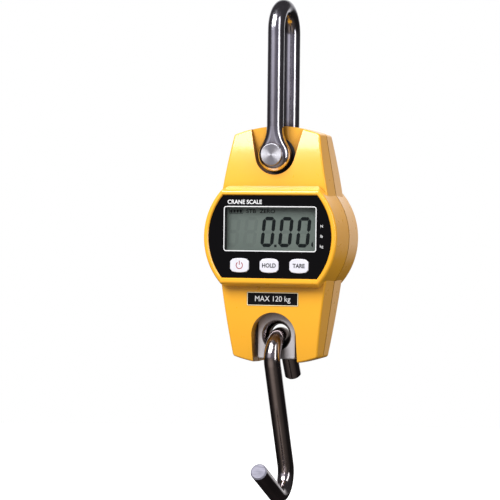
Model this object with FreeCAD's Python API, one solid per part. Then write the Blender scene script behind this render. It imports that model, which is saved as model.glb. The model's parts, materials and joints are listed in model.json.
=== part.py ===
import FreeCAD, Part
import math
import os

# Crane scale: a load cell in a two-part die-cast housing, hung from a bow shackle,
# with an S-hook in the load cell's lower eye.
# Millimetres, +Z up, display towards -Y. Every piece is drawn about the shackle
# pin's axis, and save() moves it into the part's frame, whose origin is the inside
# of the bow's crown, where the scale hangs.

V = FreeCAD.Vector
FRONT = -1
REAR = 1

# Shackle
BOW_ROD_R = 5.0
LEG_Y = 15.0
BOW_STRAIGHT_TOP = 74.1
CROWN_INSIDE = BOW_STRAIGHT_TOP + LEG_Y - BOW_ROD_R
EYE_R = 10.2
EYE_ROUNDING = 4.8
NECK_R = 20.0
EYE_IN = LEG_Y - BOW_ROD_R
EYE_OUT = LEG_Y + BOW_ROD_R
PIN_R = 4.95
PIN_HEAD_R = 6.6
PIN_HEAD_THICK = 2.1
PIN_STUB_R = 3.95
PIN_STUB = 5.2
NUT_FLATS = 13.0
NUT_THICK = 4.0
BORE_GAP = 0.05
PIN_BUSH_R = 6.5
WASHER_R = 10.9
WASHER_GAP = 0.15

# Housing
WALL = 2.2
SEAL_HALF = 0.5
DRAFT = 0.5
DRAFT_DEPTH = 17.0
UPPER_HALF_WIDTH = 29.55
UPPER_SLOPE = 0.183
LOWER_HALF_WIDTH = 32.75
LOWER_SLOPE = 0.146
LOWER_REF = -80.0
HOUSING_REACH = 50.0
TOP_CROWN = 17.7
TOP_R = 75.0
BOTTOM_CROWN = -125.2
BOTTOM_R = 80.0
FACE_UPPER_Z = -18.5
FACE_UPPER_DEPTH = 16.0
FACE_UPPER_R = 120.0
FACE_LOWER_Z = -76.0
FACE_LOWER_DEPTH = 16.4
FACE_LOWER_R = 190.0
CORNER_R = 2.0
EDGE_R = 1.2

# Raised round middle of the housing
DRUM_Z = -49.0
DRUM_R = 41.65
DRUM_DRAFT = 0.65
DRUM_TOP = -21.4
DRUM_BOTTOM = -76.7
DRUM_TOP_SLOPE = 2.9 / 8.0
DRUM_BOTTOM_SLOPE = 2.3 / 7.6
DRUM_FRONT = 24.0
DRUM_REAR = 22.0
RIM_R = 1.8

# Display panel and window
PANEL_R = 38.6
PANEL_TOP = -24.1
PANEL_BOTTOM = -73.5
PANEL_FACE = 22.8
PANEL_THICK = 1.0
PANEL_GAP = 0.1
PANEL_SEAT = PANEL_FACE - PANEL_THICK
INNER_FACE = PANEL_SEAT - WALL
WINDOW_HALF_W = 28.5
WINDOW_TOP = -31.2
WINDOW_BOTTOM = -57.0
WINDOW_CORNER_R = 1.2
LCD_FACE = 18.6
LCD_THICK = 2.8
BOARD_FACE = 12.0
BOARD_THICK = 1.6
# Chips on the board: X, Z, half-width, half-height, thickness
CHIPS = ((-24.0, -40.0, 5.0, 5.0, 1.2), (-24.0, -56.0, 4.0, 3.0, 1.4), (24.0, -38.0, 3.0, 5.0, 1.4),
         (25.0, -50.0, 2.0, 4.0, 1.3), (-28.0, -66.0, 1.5, 2.5, 1.3), (22.5, -62.0, 1.5, 1.5, 1.0))

# Keys
KEY_PITCH = 18.6
KEY_Z = -65.9
KEY_HALF_W = 5.9
KEY_HALF_H = 4.3
KEY_CORNER_X = 4.5
KEY_CORNER_Z = 3.75
KEY_FLAT = 2.3
KEY_FACE = 23.5
KEY_GAP = 0.25
KEY_NAMES = ("power_key", "hold_key", "tare_key")

# Capacity label on the lower face
LABEL_HALF_W = 16.1
LABEL_Z = -85.8
LABEL_HALF_H = 4.05
LABEL_THICK = 0.4
LABEL_SINK = 0.1

# V-shaped recesses for the shackle's legs, and the notch for the hook
RECESS_R = 12.6
RECESS_Z = 0.8
RECESS_FLARE = math.radians(13.5)
RECESS_FLOOR = 9.1
RECESS_BACK = 8.3
NOTCH_HALF_W = 14.0
NOTCH_ARCH_Z = -107.8
LINING = 2.0

# Load cell
CELL_HALF_T = 8.0
CELL_HALF_W = 19.0
CELL_TOP = -17.0
CELL_BOTTOM = -86.0
UPPER_LUG_R = 10.0
LOWER_LUG_HALF_W = 12.0
LOWER_LUG_BOTTOM = -121.8
LUG_CORNER_R = 1.5
CELL_GAP = 0.3
SLOT_HALF = 0.8
GAUGE_Z = -53.0
GAUGE_X = 8.0
GAUGE_POCKET_R = 7.0
SLOT_OFFSET = 15.0
SLOT_END_X = 9.0
SLOT_END_R = 2.0

# Hook and its bush
EYE_Z = -107.6
BUSH_R = 9.3
BUSH_HALF = 8.1
BUSH_THROAT_R = 6.4
BUSH_MOUTH_ARC = 14.0
HOOK_ROD_R = 5.0
HOOK_TOP_Z = -107.85
HOOK_BEND_R = 16.0
HOOK_NOSE_R = 8.0
HOOK_TAIL_ANGLE = math.radians(59.0)
HOOK_TAIL = 20.8
SHANK_ANGLE = math.radians(23.2)
SHANK_POINT = (-8.7, -139.0)
SEAT_R = 12.8
TIP_ANGLE = math.radians(27.0)
TIP_END = (-38.0, -186.3)
HOOK_CHAMFER = 0.8

# Batteries and their door
CELL_R = 5.2
CELL_LENGTH = 43.0
NUB_R = 1.9
NUB_LENGTH = 1.4
BATTERY_PITCH = 11.0
BATTERY_Z = -51.0
BATTERY_Y = 14.6
BATTERY_END = 24.6
TRAY_HALF_W = 27.0
TRAY_HALF_H = 17.4
TRAY_BACK = 8.6
TRAY_FLOOR = 9.3
TRAY_RIM = 19.7
TRAY_WALL = 1.0
CONTACT_THICK = 0.4
SPRING_R = 3.2
SPRING_WIRE_R = 0.35
SPRING_RINGS = 3
DOOR_HALF_W = 28.6
DOOR_TOP = -31.9
DOOR_BOTTOM = -70.0
DOOR_THICK = 2.0
DOOR_FACE = 21.9
DOOR_GAP = 0.3
DOOR_PIN_R = 0.6
FIELD_SINK = 0.5
FIELD_MARGIN = 4.0
FIELD_BOTTOM = -56.0
GRIP_R = 0.7
GRIP_PROUD = 0.4
GRIP_PITCH = 2.0
GRIP_HALF_W = 12.0

# Screws
SHELL_SCREWS = ((-23.5, -8.0), (23.5, -8.0), (-21.0, -108.5), (21.0, -108.5))
POST_R = 3.4
SHELL_SCREW_SEAT = 11.0
SHELL_SCREW_TIP = -9.0
CELL_SCREWS = ((-13.5, -26.8), (13.5, -26.8))
CELL_POST_R = 3.8
SHELL_SCREW_SIZE = (2.75, 1.9, 1.45)
CELL_SCREW_SIZE = (3.4, 2.0, 1.8)
BOARD_SCREW_SIZE = (1.9, 1.2, 0.95)
BOARD_POST_R = 2.2
BOARD_SCREWS = ((-34.0, -43.0), (34.0, -43.0), (-34.0, -55.0), (34.0, -55.0))


def save(name, *solids):
    """Write one node, moved so that the inside of the bow's crown is at the origin."""
    shape = solids[0] if len(solids) == 1 else Part.makeCompound(list(solids))
    shape = shape.copy()
    shape.translate(V(0, 0, -CROWN_INSIDE))
    shape.exportStep("parts/%s.step" % name)
    print(name, len(shape.Solids), shape.isValid(), round(shape.Volume, 1))


def box(x0, x1, y0, y1, z0, z1):
    return Part.makeBox(x1 - x0, y1 - y0, z1 - z0, V(x0, y0, z0))


def rod_x(radius, x0, x1, y, z):
    return Part.makeCylinder(radius, x1 - x0, V(x0, y, z), V(1, 0, 0))


def rod_y(radius, y0, y1, x=0.0, z=0.0):
    low, high = sorted((y0, y1))
    return Part.makeCylinder(radius, high - low, V(x, low, z), V(0, 1, 0))


def ring_y(outer, inner, y0, y1, x=0.0, z=0.0):
    return rod_y(outer, y0, y1, x, z).cut(rod_y(inner, y0, y1, x, z))


def path_wire(to_vector, start, steps, closed=True):
    """Wire from points: a step is (end,) for a line, or (middle, end) for an arc."""
    edges = []
    here = to_vector(start)
    for step in steps:
        there = to_vector(step[-1])
        if len(step) == 2:
            edges.append(Part.Arc(here, to_vector(step[0]), there).toShape())
        else:
            edges.append(Part.LineSegment(here, there).toShape())
        here = there
    if closed and (here - to_vector(start)).Length > 1e-6:
        edges.append(Part.LineSegment(here, to_vector(start)).toShape())
    return Part.Wire(edges)


def wire_xz(y, start, *steps):
    return path_wire(lambda p: V(p[0], y, p[1]), start, steps)


def prism_y(wire, depth):
    """Solid from a wire in a plane of constant Y, drawn out by depth along Y."""
    return Part.Face(wire).extrude(V(0, depth, 0))


def slab_y(half_w, z_low, z_high, y0, y1, corner=0.0):
    """Block centred on X = 0, with corners rounded in the XZ plane."""
    low, high = sorted((y0, y1))
    shape = box(-half_w, half_w, low, high, z_low, z_high)
    if corner > 0.0:
        edges = [e for e in shape.Edges if abs(e.tangentAt(e.FirstParameter).y) > 0.9]
        shape = shape.makeFillet(corner, edges)
    return shape


def round_edges(shape, radius, wanted):
    """Fillet the edges for which wanted(edge) is true."""
    edges = [e for e in shape.Edges if wanted(e)]
    return shape.makeFillet(radius, edges)


# ---------------------------------------------------------------- housing

class End:
    """Upper or lower end of the housing: its sloping sides, end arc and crowned face."""

    def __init__(self, up, half_width, ref, slope, crown, end_r, face_z, face_depth, face_r):
        self.up = up
        self.half_width = half_width
        self.ref = ref
        self.slope = slope
        self.crown = crown
        self.end_r = end_r
        self.face_z = face_z
        self.face_depth = face_depth
        self.face_r = face_r

    def side_x(self, grow, z):
        """Half-width at height z, with the sides moved outwards by grow."""
        return self.half_width + grow - self.up * self.slope * (z - self.ref)

    def corner(self, grow):
        """Where the side meets the end arc, both moved outwards by grow."""
        centre_z = self.crown - self.up * self.end_r
        base = self.side_x(grow, centre_z)
        a = 1.0 + self.slope ** 2
        b = -2.0 * base * self.slope
        c = base ** 2 - (self.end_r + grow) ** 2
        rise = (-b + math.sqrt(b * b - 4.0 * a * c)) / (2.0 * a)
        return base - self.slope * rise, centre_z + self.up * rise

    def outline(self, y, grow):
        """Outline at the depth y; it ends flat at the drum's axis."""
        corner = self.corner(grow)
        root = self.side_x(grow, DRUM_Z)
        return wire_xz(y, (-corner[0], corner[1]),
                       ((0.0, self.crown + self.up * grow), corner),
                       ((root, DRUM_Z),),
                       ((-root, DRUM_Z),))

    def crown_slab(self, side, inset):
        """Everything behind the crowned face, moved inwards by inset."""
        radius = self.face_r - inset
        far = self.crown + self.up * 3.0
        middle = 0.5 * (far + DRUM_Z)

        def face(z):
            return side * (self.face_depth - self.face_r + math.sqrt(radius ** 2 - (z - self.face_z) ** 2))

        wire = path_wire(lambda p: V(-HOUSING_REACH, p[0], p[1]), (0.0, far),
                         (((face(far), far),), ((face(middle), middle), (face(DRUM_Z), DRUM_Z)),
                          ((0.0, DRUM_Z),)))
        return Part.Face(wire).extrude(V(2.0 * HOUSING_REACH, 0, 0))

    def block(self, side, inset):
        """Solid from the parting to the crowned face."""
        wires = [self.outline(0.0, -inset), self.outline(side * DRAFT_DEPTH, -inset - DRAFT)]
        return Part.makeLoft(wires, True, True).common(self.crown_slab(side, inset))

    def rounded_block(self, side):
        """Outside block with its two corners and its face's edges rounded."""
        shape = round_edges(self.block(side, 0.0), CORNER_R, self.is_corner)
        return round_edges(shape, EDGE_R, is_face_edge)

    def is_corner(self, edge):
        """Edge along the depth where a side meets the end arc."""
        run = edge.tangentAt(0.5 * (edge.FirstParameter + edge.LastParameter))
        return abs(run.y) > 0.9 and abs(edge.CenterOfMass.z - self.crown) < 12.0


def is_face_edge(edge):
    """Edge between the crowned face and a side or the end."""
    extent = edge.BoundBox
    shallow = min(abs(extent.YMin), abs(extent.YMax)) < 5.0
    return not shallow and abs(edge.CenterOfMass.z - DRUM_Z) > 1.0


UPPER = End(1, UPPER_HALF_WIDTH, 0.0, UPPER_SLOPE, TOP_CROWN, TOP_R,
            FACE_UPPER_Z, FACE_UPPER_DEPTH, FACE_UPPER_R)
LOWER = End(-1, LOWER_HALF_WIDTH, LOWER_REF, LOWER_SLOPE, BOTTOM_CROWN, BOTTOM_R,
            FACE_LOWER_Z, FACE_LOWER_DEPTH, FACE_LOWER_R)


def round_window(y, radius, top, bottom):
    """Circle about the drum's axis, cut off flat at top and bottom."""
    half_top = math.sqrt(radius ** 2 - (top - DRUM_Z) ** 2)
    half_bottom = math.sqrt(radius ** 2 - (bottom - DRUM_Z) ** 2)
    edges = [Part.LineSegment(V(-half_top, y, top), V(half_top, y, top)).toShape(),
             Part.Arc(V(half_top, y, top), V(radius, y, DRUM_Z), V(half_bottom, y, bottom)).toShape(),
             Part.LineSegment(V(half_bottom, y, bottom), V(-half_bottom, y, bottom)).toShape(),
             Part.Arc(V(-half_bottom, y, bottom), V(-radius, y, DRUM_Z), V(-half_top, y, top)).toShape()]
    return Part.Wire(edges)


def drum(side, inset, full_depth, depth):
    """Raised middle: full_depth is the outside's depth, depth is where this solid ends."""
    def ring(at):
        back = full_depth - at
        radius = DRUM_R + DRUM_DRAFT * back / full_depth - inset
        top = DRUM_TOP + DRUM_TOP_SLOPE * back - inset * math.hypot(1.0, DRUM_TOP_SLOPE)
        bottom = DRUM_BOTTOM - DRUM_BOTTOM_SLOPE * back + inset * math.hypot(1.0, DRUM_BOTTOM_SLOPE)
        return round_window(side * at, radius, top, bottom)

    return Part.makeLoft([ring(0.0), ring(depth)], True, True)


def recess_outline(y, grow):
    """Round-bottomed V for a shackle leg, moved outwards by grow."""
    radius = RECESS_R + grow
    foot = (radius * math.cos(RECESS_FLARE), RECESS_Z - radius * math.sin(RECESS_FLARE))
    top_z = TOP_CROWN + 5.0
    top_x = foot[0] + (top_z - foot[1]) * math.tan(RECESS_FLARE)
    return wire_xz(y, (-top_x, top_z),
                   ((-foot[0], foot[1]),),
                   ((0.0, RECESS_Z - radius), foot),
                   ((top_x, top_z),))


def notch_outline(y, grow):
    """Arch that is open at the bottom."""
    half = NOTCH_HALF_W + grow
    low = BOTTOM_CROWN - 5.0
    return wire_xz(y, (-half, low),
                   ((-half, NOTCH_ARCH_Z),),
                   ((0.0, NOTCH_ARCH_Z + half), (half, NOTCH_ARCH_Z)),
                   ((half, low),))


def shell(side):
    """One half of the housing, before its own openings are cut."""
    full = DRUM_FRONT if side == FRONT else DRUM_REAR
    inner = INNER_FACE if side == FRONT else DRUM_REAR - WALL
    lump = drum(side, 0.0, full, full)
    lump = round_edges(lump, RIM_R, lambda e: abs(abs(e.CenterOfMass.y) - full) < 0.01)
    outer = lump.fuse(UPPER.rounded_block(side)).fuse(LOWER.rounded_block(side))
    cavity = drum(side, WALL, full, inner)
    cavity = cavity.fuse(UPPER.block(side, WALL)).fuse(LOWER.block(side, WALL))
    walls = outer.cut(cavity)
    y_far = side * 40.0
    recess_lining = prism_y(recess_outline(side * RECESS_BACK, LINING), y_far)
    notch_lining = prism_y(notch_outline(0.0, LINING), y_far)
    posts = [rod_y(POST_R, 0.0, y_far, x, z) for x, z in SHELL_SCREWS]
    if side == REAR:
        posts += [rod_y(CELL_POST_R, CELL_HALF_T + 0.1, y_far, x, z) for x, z in CELL_SCREWS]
    inside = Part.makeCompound([recess_lining, notch_lining] + posts)
    for piece in inside.Solids:
        walls = walls.fuse(piece.common(outer))
    walls = walls.cut(prism_y(recess_outline(side * RECESS_FLOOR, 0.0), y_far))
    walls = walls.cut(rod_y(UPPER_LUG_R + CELL_GAP, 0.0, y_far))
    walls = walls.cut(prism_y(notch_outline(0.0, 0.0), y_far))
    passage = box(-LOWER_LUG_HALF_W - CELL_GAP, LOWER_LUG_HALF_W + CELL_GAP,
                  -CELL_HALF_T - CELL_GAP, CELL_HALF_T + CELL_GAP, BOTTOM_CROWN, CELL_BOTTOM)
    neck = box(-UPPER_LUG_R - CELL_GAP, UPPER_LUG_R + CELL_GAP,
               -CELL_HALF_T - CELL_GAP, CELL_HALF_T + CELL_GAP, CELL_TOP, RECESS_Z)
    parting = box(-60, 60, -SEAL_HALF, SEAL_HALF, -140, 40)
    return walls.cut(passage).cut(neck).cut(parting).removeSplitter()


def screw(size, seat_y, tip_y, x, z):
    """Pan-head screw along Y: size is the head's radius and height and the shank's radius."""
    head_r, head_h, shank_r = size
    out = 1.0 if seat_y > tip_y else -1.0
    head = rod_y(head_r, seat_y, seat_y + out * head_h, x, z)
    top = seat_y + out * head_h
    head = round_edges(head, 0.35 * head_h, lambda e: abs(e.CenterOfMass.y - top) < 0.01 and e.Closed)
    body = head.fuse(rod_y(shank_r, seat_y, tip_y, x, z))
    arm = 0.62 * head_r
    half = 0.17 * head_r
    deep = sorted((top, top - out * 0.6 * head_h))
    cross = box(x - arm, x + arm, deep[0], deep[1], z - half, z + half)
    cross = cross.fuse(box(x - half, x + half, deep[0], deep[1], z - arm, z + arm))
    return body.cut(cross)


def key_outline(y, x, grow):
    """Barrel-shaped key: arcs at top and bottom, flat sides, cut corners."""
    half_w = KEY_HALF_W + grow
    half_h = KEY_HALF_H + grow
    flat = KEY_FLAT + 0.5 * grow
    inner = KEY_CORNER_X + 0.6 * grow
    shoulder = KEY_CORNER_Z + grow
    return wire_xz(y, (x - inner, KEY_Z + shoulder),
                   ((x, KEY_Z + half_h), (x + inner, KEY_Z + shoulder)),
                   ((x + half_w, KEY_Z + flat),),
                   ((x + half_w, KEY_Z - flat),),
                   ((x + inner, KEY_Z - shoulder),),
                   ((x, KEY_Z - half_h), (x - inner, KEY_Z - shoulder)),
                   ((x - half_w, KEY_Z - flat),),
                   ((x - half_w, KEY_Z + flat),))


def key_x(index):
    return (index - 1) * KEY_PITCH


def window_slab(grow, y0, y1, corner):
    return slab_y(WINDOW_HALF_W + grow, WINDOW_BOTTOM - grow, WINDOW_TOP + grow, y0, y1, corner)


def front_shell():
    """Front casing with the panel's seat, the window, the keys' holes and the board's posts."""
    walls = shell(FRONT)
    for x, z in BOARD_SCREWS:
        walls = walls.fuse(rod_y(BOARD_POST_R, -INNER_FACE - 0.5, -BOARD_FACE, x, z))
        walls = walls.cut(rod_y(1.0, -INNER_FACE + 1.5, -BOARD_FACE, x, z))
    seat_y = -DRUM_FRONT - 1.0
    walls = walls.cut(prism_y(round_window(seat_y, PANEL_R, PANEL_TOP, PANEL_BOTTOM),
                              DRUM_FRONT + 1.0 - PANEL_SEAT))
    bevel = [round_window(-DRUM_FRONT - 0.4, PANEL_R + 1.0, PANEL_TOP + 1.0, PANEL_BOTTOM - 1.0),
             round_window(-DRUM_FRONT + 0.6, PANEL_R, PANEL_TOP, PANEL_BOTTOM)]
    walls = walls.cut(Part.makeLoft(bevel, True, True))
    walls = walls.cut(window_slab(0.8, -DRUM_FRONT, -INNER_FACE + 1.0, WINDOW_CORNER_R))
    for index in range(3):
        walls = walls.cut(prism_y(key_outline(-DRUM_FRONT, key_x(index), KEY_GAP), 6.0))
    for x, z in SHELL_SCREWS:
        walls = walls.cut(rod_y(1.5, 0.0, SHELL_SCREW_TIP - 1.5, x, z))
    label = label_slab(0.1, -30.0, -10.0)
    walls = walls.cut(label.cut(LOWER.crown_slab(FRONT, LABEL_THICK + LABEL_SINK)))
    return walls.removeSplitter()


def label_slab(grow, y0, y1):
    return slab_y(LABEL_HALF_W + grow, LABEL_Z - LABEL_HALF_H - grow, LABEL_Z + LABEL_HALF_H + grow,
                  y0, y1, 0.6)


def capacity_label():
    """Thin plate that follows the lower face, sunk a little below it."""
    plate = label_slab(0.0, -30.0, -10.0).common(LOWER.crown_slab(FRONT, LABEL_SINK))
    return plate.cut(LOWER.crown_slab(FRONT, LABEL_SINK + LABEL_THICK))


def rear_shell():
    """Rear casing with the battery door's opening and the screws' recesses."""
    walls = shell(REAR)
    opening = slab_y(DOOR_HALF_W + DOOR_GAP, DOOR_BOTTOM - DOOR_GAP, DOOR_TOP + DOOR_GAP,
                     DRUM_REAR - WALL - 1.0, DRUM_REAR + 1.0, 1.0)
    walls = walls.cut(opening)
    walls = walls.cut(Part.makeSphere(12.0, V(0, DRUM_REAR + 10.6, DOOR_BOTTOM - 1.0)))
    reach = DOOR_HALF_W + 2.0
    walls = walls.cut(rod_x(DOOR_PIN_R + BORE_GAP, -reach, reach, door_axis()[0], door_axis()[1]))
    for x, z in SHELL_SCREWS:
        walls = walls.cut(rod_y(1.7, 0.0, DRUM_REAR, x, z))
        walls = walls.cut(rod_y(3.0, SHELL_SCREW_SEAT, DRUM_REAR, x, z))
    for x, z in CELL_SCREWS:
        walls = walls.cut(rod_y(1.85, CELL_HALF_T, DRUM_REAR - 4.0, x, z))
    return walls.removeSplitter()


def shell_seal():
    """Thin gasket along the parting, set back from the outside so that it shows as a groove."""
    def slice_solid(inset):
        plan = round_window(-SEAL_HALF, DRUM_R + DRUM_DRAFT - inset, DRUM_TOP - inset, DRUM_BOTTOM + inset)
        flat = prism_y(plan, 2.0 * SEAL_HALF)
        for end in (UPPER, LOWER):
            flat = flat.fuse(prism_y(end.outline(-SEAL_HALF, -inset), 2.0 * SEAL_HALF))
        return flat

    ring = slice_solid(0.7).cut(slice_solid(WALL))
    lining = prism_y(notch_outline(-SEAL_HALF, LINING), 2.0 * SEAL_HALF)
    ring = ring.fuse(lining.common(slice_solid(0.7)))
    ring = ring.cut(prism_y(notch_outline(-SEAL_HALF, 0.7), 2.0 * SEAL_HALF))
    passage = box(-LOWER_LUG_HALF_W - CELL_GAP, LOWER_LUG_HALF_W + CELL_GAP, -1.0, 1.0,
                  NOTCH_ARCH_Z, CELL_BOTTOM)
    return ring.cut(passage).removeSplitter()


# ---------------------------------------------------------------- shackle

def shackle_bow():
    """Round bar bent to a bow, with an eye forged on each end."""
    foot = 12.0
    path = path_wire(lambda p: V(0, p[0], p[1]), (-LEG_Y, foot),
                     (((-LEG_Y, BOW_STRAIGHT_TOP),),
                      ((0.0, BOW_STRAIGHT_TOP + LEG_Y), (LEG_Y, BOW_STRAIGHT_TOP)),
                      ((LEG_Y, foot),)), closed=False)
    section = Part.Wire(Part.makeCircle(BOW_ROD_R, V(0, -LEG_Y, foot), V(0, 0, 1)))
    bow = path.makePipeShell([section], True, False)
    for side in (FRONT, REAR):
        bow = bow.fuse(shackle_eye(side))
    bore = rod_y(PIN_R + BORE_GAP, -EYE_OUT - 1.0, EYE_OUT + 1.0)
    return bow.cut(bore).removeSplitter()


def shackle_eye(side):
    """Round eye that flares into the leg, with one rounding all along its outline."""
    near = side * EYE_IN
    far = side * EYE_OUT
    join_z = math.sqrt((EYE_R + NECK_R) ** 2 - (BOW_ROD_R + NECK_R) ** 2)
    share = EYE_R / (EYE_R + NECK_R)
    meet = ((BOW_ROD_R + NECK_R) * share, join_z * share)
    half_turn = 0.5 * math.asin((join_z - meet[1]) / NECK_R)
    waist = (BOW_ROD_R + NECK_R - NECK_R * math.cos(half_turn), join_z - NECK_R * math.sin(half_turn))
    outline = wire_xz(min(near, far), (-BOW_ROD_R, join_z),
                      ((BOW_ROD_R, join_z),),
                      (waist, meet),
                      ((0.0, -EYE_R), (-meet[0], meet[1])),
                      ((-waist[0], waist[1]), (-BOW_ROD_R, join_z)))
    eye = prism_y(outline, EYE_OUT - EYE_IN)

    def along_outline(edge):
        return abs(abs(edge.CenterOfMass.y) - LEG_Y) > 4.9 and edge.CenterOfMass.z < join_z - 0.1

    return round_edges(eye, EYE_ROUNDING, along_outline)


def shackle_pin():
    """Clevis pin: flat head at the front, threaded stub at the rear."""
    head = rod_y(PIN_HEAD_R, -EYE_OUT, -EYE_OUT - PIN_HEAD_THICK)
    head = round_edges(head, 0.4, lambda e: e.Closed and e.CenterOfMass.y < -EYE_OUT - 1.0)
    stub = rod_y(PIN_STUB_R, EYE_OUT - 1.0, EYE_OUT + PIN_STUB)
    stub = stub.makeChamfer(0.6, [e for e in stub.Edges if e.Closed and e.CenterOfMass.y > EYE_OUT])
    return head.fuse(rod_y(PIN_R, -EYE_OUT, EYE_OUT)).fuse(stub).removeSplitter()


def pin_nut():
    """Thin hexagon nut on the pin's stub."""
    across = NUT_FLATS / math.sqrt(3.0)
    corners = [V(across * math.sin(k * math.pi / 3), EYE_OUT, across * math.cos(k * math.pi / 3))
               for k in range(7)]
    nut = Part.Face(Part.makePolygon(corners)).extrude(V(0, NUT_THICK, 0))
    trim = Part.makeCone(across - 0.55, across + 3.0, NUT_THICK, V(0, EYE_OUT + NUT_THICK, 0), V(0, -1, 0))
    return nut.common(trim).cut(rod_y(PIN_STUB_R + BORE_GAP, EYE_OUT - 1.0, EYE_OUT + 6.0))


# ---------------------------------------------------------------- load cell and hook

def load_cell():
    """S-type load cell: pin eye above, hook eye below, two slots and a gauge pocket between."""
    half = CELL_HALF_T
    cell = slab_y(CELL_HALF_W, CELL_BOTTOM, CELL_TOP, -half, half, 3.0)
    lug = slab_y(LOWER_LUG_HALF_W, LOWER_LUG_BOTTOM, CELL_BOTTOM + 6.0, -half, half, LUG_CORNER_R)
    lug = round_edges(lug, 0.8, lambda e: abs(abs(e.CenterOfMass.y) - half) < 0.01)
    cell = cell.fuse(lug).fuse(box(-UPPER_LUG_R, UPPER_LUG_R, -half, half, CELL_TOP - 1.0, 0.0))
    cell = cell.fuse(rod_y(UPPER_LUG_R, -half, half))
    cell = cell.cut(rod_y(PIN_BUSH_R, -half, half))
    cell = cell.cut(rod_y(BUSH_R + BORE_GAP, -half, half, 0.0, EYE_Z))
    for side in (-1, 1):
        slot_z = GAUGE_Z - side * SLOT_OFFSET
        ends = sorted((side * (CELL_HALF_W + 1.0), -side * SLOT_END_X))
        cell = cell.cut(box(ends[0], ends[1], -half, half, slot_z - SLOT_HALF, slot_z + SLOT_HALF))
        cell = cell.cut(rod_y(SLOT_END_R, -half, half, -side * SLOT_END_X, slot_z))
        cell = cell.cut(rod_y(GAUGE_POCKET_R, -half, half, side * GAUGE_X, GAUGE_Z))
    cell = cell.cut(box(-GAUGE_X, GAUGE_X, -half, half, GAUGE_Z - SLOT_END_R, GAUGE_Z + SLOT_END_R))
    for x, z in CELL_SCREWS:
        cell = cell.cut(rod_y(2.2, -half, half, x, z))
    return cell.removeSplitter()


def strain_gauges():
    """Four foil gauges on the thin walls above and below the pockets."""
    gauges = []
    for side in (-1, 1):
        for up in (-1, 1):
            z = sorted((GAUGE_Z + up * (GAUGE_POCKET_R - 0.75), GAUGE_Z + up * (GAUGE_POCKET_R - 0.5)))
            x = side * GAUGE_X
            gauges.append(box(x - 2.0, x + 2.0, -3.0, 3.0, z[0], z[1]))
    return gauges


def hook_bush():
    """Steel bush with a bell-shaped bore, free to turn in the lower eye."""
    mouth = BUSH_THROAT_R + BUSH_MOUTH_ARC - math.sqrt(BUSH_MOUTH_ARC ** 2 - BUSH_HALF ** 2)
    wire = path_wire(lambda p: V(0, p[0], EYE_Z + p[1]), (-BUSH_HALF, mouth),
                     (((0.0, BUSH_THROAT_R), (BUSH_HALF, mouth)),
                      ((BUSH_HALF, BUSH_R),), ((-BUSH_HALF, BUSH_R),)))
    return Part.Face(wire).revolve(V(0, 0, EYE_Z), V(0, 1, 0), 360)


def hook_route():
    """Centreline of the hook in the YZ plane, tangent runs and arcs."""
    normal = V(0, math.cos(SHANK_ANGLE), math.sin(SHANK_ANGLE))
    tip_normal = V(0, math.sin(TIP_ANGLE), math.cos(TIP_ANGLE))
    shank_offset = normal.dot(V(0, SHANK_POINT[0], SHANK_POINT[1]))
    tip_end = V(0, TIP_END[0], TIP_END[1])
    bend = V(0, 0, HOOK_TOP_Z - HOOK_BEND_R)
    tail_start = bend + V(0, math.sin(HOOK_TAIL_ANGLE), math.cos(HOOK_TAIL_ANGLE)) * HOOK_BEND_R
    tail_end = tail_start + V(0, math.cos(HOOK_TAIL_ANGLE), -math.sin(HOOK_TAIL_ANGLE)) * HOOK_TAIL
    # The nose arc touches the bend's arc from inside and the shank
    cosine = (normal.dot(bend) - shank_offset - HOOK_NOSE_R) / (HOOK_BEND_R - HOOK_NOSE_R)
    rise = math.acos(cosine) - SHANK_ANGLE
    outward = V(0, -math.cos(rise), math.sin(rise))
    nose = bend + outward * (HOOK_BEND_R - HOOK_NOSE_R)
    bend_end = bend + outward * HOOK_BEND_R
    shank_start = nose - normal * HOOK_NOSE_R
    nose_middle = nose + unit(outward - normal) * HOOK_NOSE_R
    # The seat arc touches the shank and the tip
    det = normal.y * tip_normal.z - normal.z * tip_normal.y
    a = shank_offset - SEAT_R
    b = tip_normal.dot(tip_end) + SEAT_R
    seat = V(0, (a * tip_normal.z - normal.z * b) / det, (normal.y * b - a * tip_normal.y) / det)
    shank_end = seat + normal * SEAT_R
    tip_start = seat - tip_normal * SEAT_R
    seat_middle = seat + unit(normal - tip_normal) * SEAT_R
    edges = [Part.LineSegment(tail_end, tail_start).toShape(),
             Part.Arc(tail_start, bend + V(0, 0, HOOK_BEND_R), bend_end).toShape(),
             Part.Arc(bend_end, nose_middle, shank_start).toShape(),
             Part.LineSegment(shank_start, shank_end).toShape(),
             Part.Arc(shank_end, seat_middle, tip_start).toShape(),
             Part.LineSegment(tip_start, tip_end).toShape()]
    return Part.Wire(edges), tail_end, tip_end


def unit(vector):
    return vector * (1.0 / vector.Length)


def hook():
    """Round bar bent to an S: short tail, bend in the eye, slanted shank, open seat."""
    route, tail_end, tip_end = hook_route()
    along = V(0, -math.cos(HOOK_TAIL_ANGLE), math.sin(HOOK_TAIL_ANGLE))
    section = Part.Wire(Part.makeCircle(HOOK_ROD_R, tail_end, along))
    solid = route.makePipeShell([section], True, False)
    ends = [e for e in solid.Edges if e.Closed and min((e.CenterOfMass - tail_end).Length,
                                                       (e.CenterOfMass - tip_end).Length) < 0.1]
    print("hook volume over section times length",
          round(solid.Volume / (math.pi * HOOK_ROD_R ** 2 * route.Length), 4))
    return solid.makeChamfer(HOOK_CHAMFER, ends)


# ---------------------------------------------------------------- display and keys

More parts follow.
